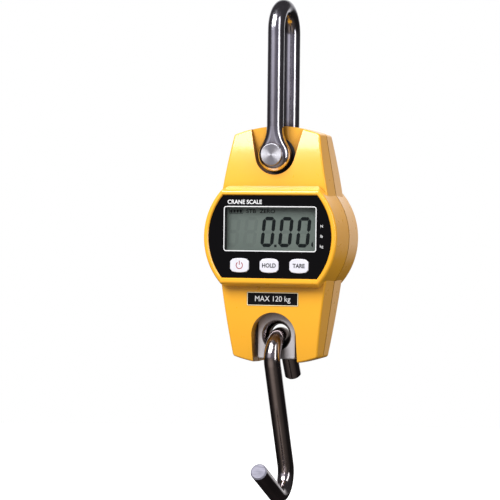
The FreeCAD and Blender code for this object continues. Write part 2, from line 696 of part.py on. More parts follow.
def display_panel():
    """Black panel, with the window and the keys' holes cut out."""
    panel = prism_y(round_window(-PANEL_FACE, PANEL_R - PANEL_GAP, PANEL_TOP - PANEL_GAP,
                                 PANEL_BOTTOM + PANEL_GAP), PANEL_THICK)
    panel = panel.cut(window_slab(0.0, -DRUM_FRONT, -PANEL_SEAT + 1.0, WINDOW_CORNER_R))
    for index in range(3):
        panel = panel.cut(prism_y(key_outline(-DRUM_FRONT, key_x(index), KEY_GAP), 6.0))
    return panel


def lcd_frame():
    """Bezel that lines the window and holds the LCD against it."""
    lcd_half_w = WINDOW_HALF_W + 1.2
    frame = slab_y(lcd_half_w + 1.1, WINDOW_BOTTOM - 2.3, WINDOW_TOP + 2.3,
                   -INNER_FACE + 0.1, -BOARD_FACE, 1.0)
    frame = frame.fuse(window_slab(0.6, -PANEL_SEAT + 0.1, -INNER_FACE + 0.1, WINDOW_CORNER_R))
    frame = frame.cut(window_slab(0.0, -DRUM_FRONT, -BOARD_FACE, WINDOW_CORNER_R))
    return frame.cut(slab_y(lcd_half_w, WINDOW_BOTTOM - 1.2, WINDOW_TOP + 1.2, -LCD_FACE, -BOARD_FACE))


def lcd_stack():
    """LCD glass, backlight and the two zebra strips, in the frame's pocket."""
    low = WINDOW_BOTTOM - 1.0
    high = WINDOW_TOP + 1.0
    half = WINDOW_HALF_W + 1.0
    back = -LCD_FACE + LCD_THICK
    glass = slab_y(half, low, high, -LCD_FACE, back)
    light = slab_y(half - 2.0, low + 2.4, high - 2.4, back, back + 2.0)
    strips = [box(-half + 1.0, half - 1.0, back, -BOARD_FACE, z - 0.8, z + 0.8)
              for z in (low + 1.0, high - 1.0)]
    return glass, light, strips


def main_board():
    """Circuit board behind the LCD, screwed to the front shell's posts."""
    outline = round_window(-BOARD_FACE, PANEL_R - 1.3, PANEL_TOP - 1.0, PANEL_BOTTOM + 0.5)
    board = prism_y(outline, BOARD_THICK)
    for x, z in BOARD_SCREWS:
        board = board.cut(rod_y(1.1, -BOARD_FACE, -BOARD_FACE + BOARD_THICK, x, z))
    return board


def board_chips():
    """Components on the board's rear, between it and the load cell."""
    back = -BOARD_FACE + BOARD_THICK
    chips = [box(x - w, x + w, back, back + t, z - h, z + h) for x, z, w, h, t in CHIPS]
    chips += [box(22.0 + 3.0 * k, 23.4 + 3.0 * k, back, back + 0.8, -69.0, -66.5) for k in range(3)]
    return chips


def key_switch(index):
    """Tact switch under a key."""
    x = key_x(index)
    body = box(x - 3.0, x + 3.0, -BOARD_FACE - 3.6, -BOARD_FACE, KEY_Z - 3.0, KEY_Z + 3.0)
    return body.fuse(rod_y(1.7, -BOARD_FACE - 4.7, -BOARD_FACE - 3.6, x, KEY_Z))


def key_cap(index):
    """Key cap with a flange behind the shell's wall, and a stem over its switch."""
    x = key_x(index)
    cap = prism_y(key_outline(-KEY_FACE, x, 0.0), KEY_FACE - INNER_FACE + 0.2)
    cap = round_edges(cap, 0.45, lambda e: abs(e.CenterOfMass.y + KEY_FACE) < 0.01)
    flange = prism_y(key_outline(-INNER_FACE + 0.2, x, 0.9), 0.8)
    stem = rod_y(1.8, -INNER_FACE + 1.0, -INNER_FACE + 2.0, x, KEY_Z)
    return cap.fuse(flange).fuse(stem).removeSplitter()


# ---------------------------------------------------------------- batteries

def battery_z(index):
    return BATTERY_Z + (1 - index) * BATTERY_PITCH


def battery(index):
    """Dry cell; the middle one lies the other way round."""
    turn = -1 if index == 1 else 1
    tip = turn * BATTERY_END
    shoulder = tip - turn * NUB_LENGTH
    base = shoulder - turn * CELL_LENGTH
    z = battery_z(index)
    can = rod_x(CELL_R, min(base, shoulder), max(base, shoulder), BATTERY_Y, z)
    can = round_edges(can, 0.5, lambda e: e.Closed)
    return can.fuse(rod_x(NUB_R, min(tip, shoulder), max(tip, shoulder), BATTERY_Y, z))


def battery_tray():
    """Open box for three cells, with a flange behind the door's opening."""
    low = BATTERY_Z - TRAY_HALF_H
    high = BATTERY_Z + TRAY_HALF_H
    tray = slab_y(TRAY_HALF_W, low, high, TRAY_BACK, TRAY_RIM, 1.0)
    flange = slab_y(TRAY_HALF_W + 3.4, low - 3.0, high + 2.7, TRAY_RIM - 0.7, TRAY_RIM, 1.5)
    tray = tray.fuse(flange)
    tray = tray.cut(slab_y(TRAY_HALF_W - TRAY_WALL, low + TRAY_WALL, high - TRAY_WALL, TRAY_FLOOR, TRAY_RIM))
    for z in (BATTERY_Z - 0.5 * BATTERY_PITCH, BATTERY_Z + 0.5 * BATTERY_PITCH):
        tray = tray.fuse(box(-21.0, 21.0, TRAY_FLOOR - 0.1, TRAY_FLOOR + 3.5, z - 0.25, z + 0.25))
    return tray.removeSplitter()


def battery_contacts():
    """A plate at each end of each cell, with a boss for the cell's tip."""
    wall = TRAY_HALF_W - TRAY_WALL
    plates = []
    for index in range(3):
        z = battery_z(index)
        for end in (-1, 1):
            face = sorted((end * wall, end * (wall - CONTACT_THICK)))
            plate = box(face[0], face[1], BATTERY_Y - 4.5, BATTERY_Y + 4.5, z - 4.5, z + 4.5)
            turn = -1 if index == 1 else 1
            if end == turn:
                boss = sorted((end * (wall - CONTACT_THICK), end * BATTERY_END))
                plate = plate.fuse(rod_x(2.4, boss[0], boss[1], BATTERY_Y, z))
            plates.append(plate)
    return plates


def battery_springs():
    """Spring behind each cell's flat end: rings held by two bars."""
    wall = TRAY_HALF_W - TRAY_WALL - CONTACT_THICK
    length = wall - (CELL_LENGTH + NUB_LENGTH - BATTERY_END)
    springs = []
    for index in range(3):
        turn = 1 if index == 1 else -1
        z = battery_z(index)
        ends = sorted((turn * wall, turn * (wall - length)))
        spring = None
        for side in (-1, 1):
            bar = rod_x(SPRING_WIRE_R, ends[0], ends[1], BATTERY_Y + side * SPRING_R, z)
            spring = bar if spring is None else spring.fuse(bar)
        for step in range(SPRING_RINGS):
            share = (step + 0.5) / SPRING_RINGS
            centre = V(ends[0] + share * length, BATTERY_Y, z)
            spring = spring.fuse(Part.makeTorus(SPRING_R, SPRING_WIRE_R, centre, V(1, 0, 0)))
        springs.append(spring)
    return springs


def door_axis():
    """Y and Z of the battery door's hinge."""
    half = 0.5 * DOOR_THICK
    return DOOR_FACE - half, DOOR_TOP - half


def battery_door():
    """Door with a round upper edge, on two hinge pins, with a sunk field and grip ribs below it."""
    axis_y, axis_z = door_axis()
    plate = slab_y(DOOR_HALF_W, DOOR_BOTTOM, axis_z, DOOR_FACE - DOOR_THICK, DOOR_FACE)
    lower = [e for e in plate.Edges if abs(e.CenterOfMass.z - DOOR_BOTTOM) < 0.01 or
             abs(e.CenterOfMass.y - DOOR_FACE) < 0.01]
    lower = [e for e in lower if abs(e.CenterOfMass.z - axis_z) > 0.1]
    plate = plate.makeFillet(0.4, lower)
    door = plate.fuse(rod_x(0.5 * DOOR_THICK, -DOOR_HALF_W, DOOR_HALF_W, axis_y, axis_z))
    door = door.cut(slab_y(DOOR_HALF_W - FIELD_MARGIN, FIELD_BOTTOM, axis_z - FIELD_MARGIN,
                           DOOR_FACE - FIELD_SINK, DOOR_FACE + FIELD_SINK, 2.0))
    for row in range(5):
        z = DOOR_BOTTOM + 3.0 + GRIP_PITCH * row
        door = door.fuse(rod_x(GRIP_R, row - GRIP_HALF_W, GRIP_HALF_W - row,
                               DOOR_FACE + GRIP_PROUD - GRIP_R, z))
    for end in (-1, 1):
        ends = sorted((end * (DOOR_HALF_W - 3.0), end * (DOOR_HALF_W + 1.7)))
        door = door.cut(rod_x(DOOR_PIN_R, ends[0], ends[1], axis_y, axis_z))
    return door


def door_pins():
    axis_y, axis_z = door_axis()
    return [rod_x(DOOR_PIN_R, x, x + 4.7, axis_y, axis_z) for x in (-DOOR_HALF_W - 1.7, DOOR_HALF_W - 3.0)]


# ---------------------------------------------------------------- wires

def bent_wire(radius, points, bend_r):
    """Round wire along straight runs joined by tangent arcs."""
    points = [V(*p) for p in points]
    edges = []
    here = points[0]
    for before, corner, after in zip(points, points[1:], points[2:]):
        inward = unit(before - corner)
        outward = unit(after - corner)
        half_turn = 0.5 * (math.pi - inward.getAngle(outward))
        reach = bend_r * math.tan(half_turn)
        start = corner + inward * reach
        end = corner + outward * reach
        to_centre = unit(inward + outward)
        middle = corner + to_centre * (bend_r / math.cos(half_turn) - bend_r)
        edges.append(Part.LineSegment(here, start).toShape())
        edges.append(Part.Arc(start, middle, end).toShape())
        here = end
    edges.append(Part.LineSegment(here, points[-1]).toShape())
    route = Part.Wire(edges)
    section = Part.Wire(Part.makeCircle(radius, points[0], points[1] - points[0]))
    return route.makePipeShell([section], True, False)


def gauge_wires():
    """Four thin leads from the load cell's side to the board."""
    back = -BOARD_FACE + BOARD_THICK
    heights = [-61.5 - 1.5 * k for k in range(4)]
    return [bent_wire(0.4, ((-CELL_HALF_W, -2.0, z), (-22.5, -2.0, z), (-22.5, back, z)), 1.0)
            for z in heights]


def battery_wires():
    """Two leads from the tray's ends to the board, one each side of the load cell."""
    back = -BOARD_FACE + BOARD_THICK
    z = BATTERY_Z + 5.0
    return [bent_wire(0.6, ((side * TRAY_HALF_W, 14.0, z), (side * 31.0, 14.0, z),
                            (side * 31.0, back, z)), 1.6) for side in (-1, 1)]


def main():
    os.makedirs("parts", exist_ok=True)
    save("shackle_bow", shackle_bow())
    save("shackle_pin", shackle_pin())
    save("pin_nut", pin_nut())
    save("pin_washers", *[ring_y(WASHER_R, PIN_R + BORE_GAP, side * (RECESS_FLOOR + WASHER_GAP),
                                 side * (EYE_IN - WASHER_GAP)) for side in (FRONT, REAR)])
    save("pin_bush", ring_y(PIN_BUSH_R, PIN_R + BORE_GAP, -CELL_HALF_T, CELL_HALF_T))
    save("load_cell", load_cell())
    save("strain_gauges", *strain_gauges())
    save("gauge_covers", *[slab_y(17.0, GAUGE_Z - 11.0, GAUGE_Z + 11.0, side * (CELL_HALF_T + 0.05),
                                  side * (CELL_HALF_T + 0.45), 2.0) for side in (FRONT, REAR)])
    save("hook_bush", hook_bush())
    save("hook", hook())
    save("front_shell", front_shell())
    save("rear_shell", rear_shell())
    save("shell_seal", shell_seal())
    save("display_panel", display_panel())
    save("window_lens", window_slab(-0.1, -PANEL_FACE + 0.15, -PANEL_SEAT, WINDOW_CORNER_R - 0.1))
    save("capacity_label", capacity_label())
    save("lcd_frame", lcd_frame())
    glass, light, strips = lcd_stack()
    save("lcd_glass", glass)
    save("backlight", light)
    save("zebra_strips", *strips)
    save("main_board", main_board())
    save("board_chips", *board_chips())
    save("key_switches", *[key_switch(index) for index in range(3)])
    for index, name in enumerate(KEY_NAMES):
        save(name, key_cap(index))
    save("battery_tray", battery_tray())
    for index in range(3):
        save("battery_%d" % (index + 1), battery(index))
    save("battery_contacts", *battery_contacts())
    save("battery_springs", *battery_springs())
    save("battery_door", battery_door())
    save("door_pins", *door_pins())
    save("gauge_wires", *gauge_wires())
    save("battery_wires", *battery_wires())
    save("shell_screws", *[screw(SHELL_SCREW_SIZE, SHELL_SCREW_SEAT, SHELL_SCREW_TIP, x, z)
                           for x, z in SHELL_SCREWS])
    save("cell_screws", *[screw(CELL_SCREW_SIZE, -CELL_HALF_T, DRUM_REAR - 5.0, x, z)
                          for x, z in CELL_SCREWS])
    save("board_screws", *[screw(BOARD_SCREW_SIZE, -BOARD_FACE + BOARD_THICK, -INNER_FACE + 2.0, x, z)
                           for x, z in BOARD_SCREWS])


main()
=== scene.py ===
# Looks for the crane scale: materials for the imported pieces, the print on the panel,
# keys and label, the LCD's segments, and a pale studio. Metres, row frame: +Z up,
# the display faces -Y, the origin is the inside of the shackle's crown.

import json
import math

import bmesh
import bpy
from mathutils import Matrix, Vector


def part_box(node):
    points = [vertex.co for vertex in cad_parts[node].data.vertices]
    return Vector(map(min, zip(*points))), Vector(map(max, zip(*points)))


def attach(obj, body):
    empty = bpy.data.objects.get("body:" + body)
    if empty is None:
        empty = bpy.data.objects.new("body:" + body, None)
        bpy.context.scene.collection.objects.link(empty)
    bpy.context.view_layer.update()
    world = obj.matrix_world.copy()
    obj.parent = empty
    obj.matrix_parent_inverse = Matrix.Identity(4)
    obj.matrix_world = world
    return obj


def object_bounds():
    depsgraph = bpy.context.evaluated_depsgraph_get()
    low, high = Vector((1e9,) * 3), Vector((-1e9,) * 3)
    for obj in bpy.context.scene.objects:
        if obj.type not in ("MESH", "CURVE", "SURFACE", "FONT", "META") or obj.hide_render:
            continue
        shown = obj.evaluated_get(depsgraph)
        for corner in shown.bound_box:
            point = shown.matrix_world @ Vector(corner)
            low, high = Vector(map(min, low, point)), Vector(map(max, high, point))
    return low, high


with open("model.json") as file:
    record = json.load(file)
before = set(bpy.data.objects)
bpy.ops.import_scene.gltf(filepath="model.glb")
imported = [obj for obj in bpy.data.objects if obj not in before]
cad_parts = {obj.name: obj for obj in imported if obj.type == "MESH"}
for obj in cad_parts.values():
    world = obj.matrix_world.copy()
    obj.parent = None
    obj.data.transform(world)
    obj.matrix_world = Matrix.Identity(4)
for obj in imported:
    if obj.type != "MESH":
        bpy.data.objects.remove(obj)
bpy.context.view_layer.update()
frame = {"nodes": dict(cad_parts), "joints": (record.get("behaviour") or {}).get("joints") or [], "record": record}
NODES = frame["nodes"]
PIN = Vector(next(j["pos_m"] for j in frame["joints"] if j["name"] == "housing_swing"))
MM = 0.001

# Thickness of a print, and how far its front stands proud of the surface below it
PRINT_THICK = 0.04 * MM
PRINT_PROUD = 0.01 * MM
# Height of a capital letter over the text size, in the font that Blender brings
CAPITAL = 0.73
# How far the outline of a bold letter is let out
BOLD = 0.06 * MM
EXTRA_BOLD = 0.11 * MM

# The reading on the LCD
DIGIT_HEIGHT = 18.0 * MM
DIGIT_WIDTH = 8.2 * MM
DIGIT_BAR = 2.15 * MM
DIGIT_PITCH = 11.1 * MM
DIGIT_SLANT = 0.1

# Painted shade: steel in corners goes towards this share of its own red, green and blue
SHADE_TINT = (0.16, 0.096, 0.064)
# The saw mark at the hook's tip is looked for this close to the end of the bar
SAWN_END_RADIUS = 8.0 * MM

# Stage sizes, metres
SURROUND_RADIUS = 6.0
BACKDROP_RADIUS = 8.0
FLOOR_RADIUS = 7.5
FLOOR_DROP = 0.6

# Camera: angles in degrees about the pin, lengths in metres except the lens
CAMERA_AZIMUTH = 19.644
CAMERA_ELEVATION = 0.278
CAMERA_ROLL = 0.67
CAMERA_DISTANCE = 1.3
CAMERA_ASIDE = -0.01981
CAMERA_RISE = -0.0566
CAMERA_LENS_MM = 155.51


# ------------------------------------------------------------------ shader helpers

class Shader:
    """One procedural material and short ways to add nodes to it."""

    def __init__(self, name, color, roughness, metallic=0.0):
        self.material = bpy.data.materials.new(name)
        self.material.use_nodes = True
        self.nodes = self.material.node_tree.nodes
        self.links = self.material.node_tree.links
        self.bsdf = self.nodes["Principled BSDF"]
        self.place = self.nodes.new("ShaderNodeTexCoord").outputs["Object"]
        self.set("Base Color", (*color, 1.0))
        self.set("Roughness", roughness)
        self.set("Metallic", metallic)

    def set(self, name, value):
        """Set a shader input to a number, a colour, or another node's output."""
        socket = self.bsdf.inputs[name]
        if isinstance(value, bpy.types.NodeSocket):
            self.links.new(value, socket)
        else:
            socket.default_value = value

    def node(self, kind, values=(), **settings):
        """New node: values are (input, number or output) pairs, settings are its properties."""
        node = self.nodes.new(kind)
        for key, value in settings.items():
            setattr(node, key, value)
        for key, value in values:
            if isinstance(value, bpy.types.NodeSocket):
                self.links.new(value, node.inputs[key])
            else:
                node.inputs[key].default_value = value
        return node

    def stretched(self, scale, rotation=(0.0, 0.0, 0.0)):
        """Object position, turned and scaled by axis."""
        return self.node("ShaderNodeMapping", (("Vector", self.place), ("Scale", scale),
                                               ("Rotation", rotation))).outputs["Vector"]

    def noise(self, size, detail=3.0, vector=None):
        """Noise whose features are about size metres wide."""
        node = self.node("ShaderNodeTexNoise", (
            ("Vector", vector or self.place), ("Scale", 1.0 / size), ("Detail", detail),
            ("Roughness", 0.55)))
        return node.outputs["Fac"]

    def vector(self, operation, a, b=None):
        """Vector maths: the result is a number where the operation gives one."""
        inputs = [(0, a)] if b is None else [(0, a), (1, b)]
        node = self.node("ShaderNodeVectorMath", inputs, operation=operation)
        is_number = operation in ("DOT_PRODUCT", "DISTANCE", "LENGTH")
        return node.outputs["Value" if is_number else "Vector"]

    def painted_shade(self, reach, start, end, dark, light):
        """Painted shade, from ambient occlusion, in corners and recesses reach metres wide: dark up to openness
        start, light from end on.
        """
        node = self.node("ShaderNodeAmbientOcclusion", (("Distance", reach),), samples=8)
        return self.blend(self.spread(node.outputs["AO"], 0.0, 1.0, start, end), dark, light)

    def two_tone(self, size, a, b, detail=3.0):
        """Cloudy change between two colours."""
        return self.blend(self.spread(self.noise(size, detail), 0.0, 1.0), a, b)

    def spread(self, source, low, high, start=0.3, end=0.7):
        """Map source from start..end to low..high."""
        node = self.node("ShaderNodeMapRange", (
            ("Value", source), ("From Min", start), ("From Max", end), ("To Min", low),
            ("To Max", high)))
        return node.outputs["Result"]

    def math(self, operation, a, b=0.0):
        """Maths on two numbers."""
        return self.node("ShaderNodeMath", ((0, a), (1, b)), operation=operation).outputs[0]

    def blend(self, factor, a, b):
        """Colour between a and b by factor."""
        node = self.node("ShaderNodeMix", (("Factor", factor),), data_type="RGBA")
        for socket, value in ((node.inputs[6], a), (node.inputs[7], b)):
            if isinstance(value, bpy.types.NodeSocket):
                self.links.new(value, socket)
            else:
                socket.default_value = (*value, 1.0)
        return node.outputs[2]

    def bump(self, height, depth, strength=1.0):
        """Bump of the given depth in metres, added to what is there."""
        node = self.node("ShaderNodeBump", (
            ("Height", height), ("Distance", depth), ("Strength", strength)))
        before = self.bsdf.inputs["Normal"].links
        if before:
            self.links.new(before[0].from_socket, node.inputs["Normal"])
        self.links.new(node.outputs["Normal"], self.bsdf.inputs["Normal"])


# ------------------------------------------------------------------ materials

def yellow_paint():
    """Amber satin-gloss paint: fine orange peel, slight changes of tone, and painted shade in its recesses."""
    s = Shader("yellow_paint", (0.95, 0.44, 0.022), 0.3)
    tone = s.two_tone(0.04, (0.945, 0.435, 0.021), (0.96, 0.45, 0.024), 2.0)
    # Painted shade: the paint goes dark brown in corners and recesses, such as the notch and the slope under the
    # drum.
    s.set("Base Color", s.painted_shade(0.018, 0.12, 0.8, (0.12, 0.035, 0.008), tone))
    s.set("Roughness", s.spread(s.noise(0.005, 4.0), 0.27, 0.32))
    s.set("Coat Weight", 0.75)
    s.set("Coat Roughness", 0.12)
    s.bump(s.noise(0.0009, 2.0), 0.003 * MM, 0.5)
    s.bump(s.noise(0.008, 1.0), 0.006 * MM, 0.3)
    return s.material


def drawn_steel(name, color, base_rough, shade_reach=0.0):
    """Polished bar with draw lines and cloudy tone; the last argument is how far painted shade reaches out of its
    corners.
    """
    s = Shader(name, color, base_rough, 1.0)
    lines = s.noise(0.0012, 5.0, s.stretched((1.0, 1.0, 0.06)))
    s.set("Roughness", s.spread(lines, base_rough - 0.05, base_rough + 0.09))
    tone = s.two_tone(0.02, tuple(0.78 * c for c in color), color)
    # Painted shade: darker towards the shade tint in corners.
    if shade_reach > 0.0:
        shaded = tuple(c * share for c, share in zip(color, SHADE_TINT))
        tone = s.painted_shade(shade_reach, 0.45, 0.9, shaded, tone)
    s.set("Base Color", tone)
    s.bump(lines, 0.006 * MM, 0.4)
    s.bump(s.noise(0.006, 2.0), 0.008 * MM, 0.25)
    return s


def hook_bar():
    """Dark polished bar with a matt, sawn tip."""
    # The hook steel gets painted shade 3 mm out of its corners.
    s = drawn_steel("hook_steel", (0.58, 0.53, 0.54), 0.14, 3.0 * MM)
    tip = next(m for m in frame["record"]["mounts"] if m["name"] == "hook_point")
    axis = Vector(tip["axis"])
    end = Vector(tip["pos_m"]) + axis * (0.5 * MM * tip["dims"]["length_mm"])
    along = s.vector("DOT_PRODUCT", s.place, tuple(axis))
    reach = axis.dot(end)
    near = s.math("LESS_THAN", s.vector("DISTANCE", s.place, tuple(end)), SAWN_END_RADIUS)
    sawn = s.math("MULTIPLY", s.spread(along, 0.0, 1.0, reach - 0.12 * MM, reach - 0.04 * MM), near)
    grooves = s.noise(0.0009, 4.0, s.stretched((0.15, 1.0, 1.0), (0.0, 0.0, 0.5)))
    cut = s.blend(s.spread(grooves, 0.0, 1.0), (0.17, 0.165, 0.21), (0.33, 0.32, 0.39))
    s.set("Base Color", s.blend(sawn, s.bsdf.inputs["Base Color"].links[0].from_socket, cut))
    rough = s.bsdf.inputs["Roughness"].links[0].from_socket
    s.set("Roughness", s.math("MAXIMUM", rough, s.math("MULTIPLY", sawn, 0.6)))
    s.set("Metallic", s.spread(sawn, 1.0, 0.35, 0.0, 1.0))
    s.bump(s.math("MULTIPLY", grooves, sawn), 0.02 * MM, 0.6)
    return s.material


def turned_steel(name, color, centre, pitch, rough):
    """Machined face: fine rings about an axis along Y through centre."""
    s = Shader(name, color, rough, 1.0)
    from_centre = s.vector("ADD", s.place, tuple(-c for c in centre))
    from_axis = s.vector("MULTIPLY", from_centre, (1.0, 0.0, 1.0))
    wave = s.math("SINE", s.math("MULTIPLY", s.vector("LENGTH", from_axis), 2.0 * math.pi / pitch))
    s.set("Roughness", s.spread(s.noise(0.0015, 4.0), rough - 0.05, rough + 0.06))
    s.set("Anisotropic", 0.72)
    s.set("Tangent", s.vector("NORMALIZE", s.vector("CROSS_PRODUCT", from_axis, (0.0, 1.0, 0.0))))
    s.bump(wave, 0.003 * MM, 0.3)
    return s.material


def milled_aluminium():
    """Anodised block with fine cutter lines, and painted shade where it is closed in."""
    s = Shader("milled_aluminium", (0.72, 0.7, 0.73), 0.5, 0.7)
    # Painted shade: dark brown where the notch closes the block in.
    s.set("Base Color", s.painted_shade(0.012, 0.2, 0.85, (0.1, 0.075, 0.07), (0.86, 0.84, 0.87)))
    lines = s.noise(0.0007, 4.0, s.stretched((1.0, 1.0, 0.05)))
    s.set("Roughness", s.spread(lines, 0.42, 0.56))
    s.bump(lines, 0.006 * MM, 0.4)
    return s.material


def black_gloss():
    """Glossy black panel with slightly uneven gloss."""
    s = Shader("black_gloss", (0.003, 0.003, 0.0035), 0.08)
    s.set("Roughness", s.spread(s.noise(0.01, 3.0), 0.06, 0.12))
    s.set("Specular IOR Level", 0.14)
    s.set("Coat Weight", 0.07)
    s.set("Coat Roughness", 0.05)
    s.bump(s.noise(0.015, 2.0), 0.01 * MM, 0.2)
    return s.material


def moulded_plastic(name, color, roughness=0.45, grain=0.0007, depth=0.02, specular=0.5):
    """Moulded plastic with a fine spark-eroded grain."""
    s = Shader(name, color, roughness)
    lighter = tuple(min(1.0, 1.12 * c + 0.004) for c in color)
    s.set("Base Color", s.two_tone(0.008, color, lighter))
    s.set("Roughness", s.spread(s.noise(0.002, 3.0), roughness - 0.06, roughness + 0.08))
    s.set("Specular IOR Level", specular)
    s.bump(s.noise(grain, 2.0), depth * MM, 0.5)
    return s.material


def lcd_surface():
    """Reflective LCD: grey-green, with a faint dot texture and a slow change of tone."""
    s = Shader("lcd_surface", (0.17, 0.205, 0.185), 0.3)
    s.set("Base Color", s.two_tone(0.03, (0.17, 0.212, 0.19), (0.2, 0.242, 0.216), 2.0))
    s.set("Roughness", s.spread(s.noise(0.0006, 3.0), 0.26, 0.36))
    s.bump(s.noise(0.0004, 1.0), 0.01 * MM, 0.3)
    return s.material


def clear_window():
    """Clear acrylic: a thin reflecting film over what is behind it."""
    s = Shader("clear_window", (0.01, 0.012, 0.012), 0.04)
    s.set("Alpha", 0.12)
    s.set("Specular IOR Level", 1.0)
    s.set("Roughness", s.spread(s.noise(0.01, 2.0), 0.03, 0.06))
    s.bump(s.noise(0.02, 1.0), 0.01 * MM, 0.2)
    return s.material


def printed_ink(name, color, roughness=0.4, specular=0.5):
    """Screen print with slightly uneven cover."""
    s = Shader(name, color, roughness)
    s.set("Base Color", s.two_tone(0.0009, tuple(0.9 * c for c in color), color))
    s.set("Specular IOR Level", specular)
    return s.material


def paint_nodes():
    """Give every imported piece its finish."""
    yellow = yellow_paint()
    # The bow steel gets painted shade 7 mm out of its corners, such as where the eye meets the pin head.
    bow_steel = drawn_steel("bow_steel", (0.66, 0.645, 0.71), 0.16, 7.0 * MM).material
    hook_steel = hook_bar()
    pin_steel = turned_steel("pin_steel", (0.55, 0.55, 0.59), PIN, 0.0003, 0.34)
    nut_steel = turned_steel("nut_steel", (0.5, 0.5, 0.53), PIN, 0.0005, 0.3)
    bush_steel = drawn_steel("bush_steel", (0.8, 0.79, 0.8), 0.1).material
    black = moulded_plastic("black_plastic", (0.012, 0.012, 0.013))
    white = moulded_plastic("key_white", (0.66, 0.65, 0.71), 0.35, 0.0006, 0.006)
    red = moulded_plastic("wire_red", (0.45, 0.02, 0.02))
    screw = drawn_steel("screw_steel", (0.32, 0.32, 0.33), 0.28).material
    nickel = drawn_steel("nickel", (0.7, 0.68, 0.62), 0.2).material
    cell = moulded_plastic("cell_jacket", (0.03, 0.07, 0.2), 0.3, 0.002, 0.01)
    finishes = {
        "front_shell": yellow, "rear_shell": yellow,
        "shackle_bow": bow_steel, "shackle_pin": pin_steel, "pin_nut": nut_steel,
        "hook": hook_steel, "hook_bush": bush_steel,
        "load_cell": milled_aluminium(), "display_panel": black_gloss(),
        "window_lens": clear_window(), "lcd_glass": lcd_surface(),
        "lcd_frame": black, "battery_tray": black, "key_switches": black, "board_chips": black,
        "pin_washers": black,
        "battery_door": moulded_plastic("door_plastic", (0.02, 0.02, 0.021), 0.4, 0.0009, 0.03),
        "shell_seal": moulded_plastic("seal_rubber", (0.03, 0.016, 0.008), 0.7),
        "zebra_strips": moulded_plastic("zebra_rubber", (0.05, 0.05, 0.05), 0.7),
        "capacity_label": moulded_plastic("label_black", (0.002, 0.002, 0.003), 0.4, 0.0012,
                                          0.004, 0.12),
        "backlight": moulded_plastic("diffuser", (0.8, 0.8, 0.78), 0.5),
        "main_board": moulded_plastic("solder_mask", (0.01, 0.12, 0.045), 0.35),
        "power_key": white, "hold_key": white, "tare_key": white,
        "battery_1": cell, "battery_2": cell, "battery_3": cell,
        "battery_contacts": nickel, "battery_springs": nickel, "gauge_covers": nickel,
        "door_pins": nickel, "pin_bush": drawn_steel("bronze", (0.55, 0.36, 0.16), 0.3).material,
        "strain_gauges": drawn_steel("foil", (0.7, 0.5, 0.22), 0.3).material,
        "gauge_wires": red, "battery_wires": red,
        "shell_screws": screw, "cell_screws": screw, "board_screws": screw,
    }
    for name, obj in NODES.items():
        obj.data.materials.clear()
        obj.data.materials.append(finishes[name])


# ------------------------------------------------------------------ print and segments

def mesh_from(name, build):
    """Mesh from build(bm)."""
    bm = bmesh.new()
    build(bm)
    mesh = bpy.data.meshes.new(name)
    bm.to_mesh(mesh)
    bm.free()
    return mesh


def link_piece(name, mesh, material, body):
    """Object with one material, riding on a body."""
    mesh.materials.clear()
    mesh.materials.append(material)
    obj = bpy.data.objects.new(name, mesh)
    bpy.context.scene.collection.objects.link(obj)
    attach(obj, body)


def new_mesh(name, build, material, body):
    """Piece from build(bm), with its faces turned outwards."""
    def build_outward(bm):
        build(bm)
        bmesh.ops.recalc_face_normals(bm, faces=bm.faces)

    link_piece(name, mesh_from(name, build_outward), material, body)


def plate(bm, outline, y):
    """Closed thin plate facing -Y: outline is a list of (x, z), front face at y."""
    front = [bm.verts.new((x, y, z)) for x, z in outline]
    back = [bm.verts.new((x, y + PRINT_THICK, z)) for x, z in outline]
    bm.faces.new(front)
    bm.faces.new(list(reversed(back)))
    count = len(outline)
    for k in range(count):
        n = (k + 1) % count
        bm.faces.new((front[k], back[k], back[n], front[n]))


def arc_points(cx, cz, radius, start, end, steps):
    """Points on an arc, angles in degrees."""
    angles = [math.radians(start + (end - start) * k / steps) for k in range(steps + 1)]
    return [(cx + radius * math.cos(a), cz + radius * math.sin(a)) for a in angles]


def rectangle(left, bottom, width, height):
    """Outline of an upright rectangle from its lower left corner."""
    right, top = left + width, bottom + height
    return [(left, bottom), (right, bottom), (right, top), (left, top)]


def frame_band(bm, low, high, width, corner, y):
    """Rounded rectangular band; low and high are its inner edge's corners (x, z)."""
    left, bottom = low[0] + corner, low[1] + corner
    right, top = high[0] - corner, high[1] - corner
    corners = ((right, top, 0.0), (left, top, 90.0),
               (left, bottom, 180.0), (right, bottom, 270.0))

    def ring(grow):
        points = []
        for cx, cz, start in corners:
            points += arc_points(cx, cz, corner + grow, start, start + 90.0, 6)
        return points

    inner = ring(0.0)
    outer = ring(width)
    back = y + PRINT_THICK
    count = len(inner)
    rows = []
    for outline, depth in ((inner, y), (outer, y), (outer, back), (inner, back)):
        rows.append([bm.verts.new((x, depth, z)) for x, z in outline])
    for a in range(4):
        b = (a + 1) % 4
        for k in range(count):
            n = (k + 1) % count
            bm.faces.new((rows[a][k], rows[b][k], rows[b][n], rows[a][n]))


def lettering(name, text, size, centre, material, body, stretch=1.0, weight=0.0,
              align="CENTER"):
    """Flat text facing -Y; centre is its middle (or left end), size its capital height."""
    curve = bpy.data.curves.new(name, "FONT")
    curve.body = text
    curve.align_x = align
    curve.align_y = "CENTER"
    curve.size = size / CAPITAL
    curve.extrude = 0.5 * PRINT_THICK
    curve.offset = weight
    curve.resolution_u = 4
    obj = bpy.data.objects.new(name, curve)
    bpy.context.scene.collection.objects.link(obj)
    turn = Matrix.Rotation(math.radians(90.0), 4, "X")
    obj.matrix_world = Matrix.Translation(centre) @ turn @ Matrix.Diagonal((stretch, 1.0, 1.0, 1.0))
    bpy.context.view_layer.update()
    evaluated = obj.evaluated_get(bpy.context.evaluated_depsgraph_get())
    mesh = bpy.data.meshes.new_from_object(evaluated)
    mesh.transform(obj.matrix_world)
    mesh.name = name
    bpy.data.objects.remove(obj)
    link_piece(name, mesh, material, body)


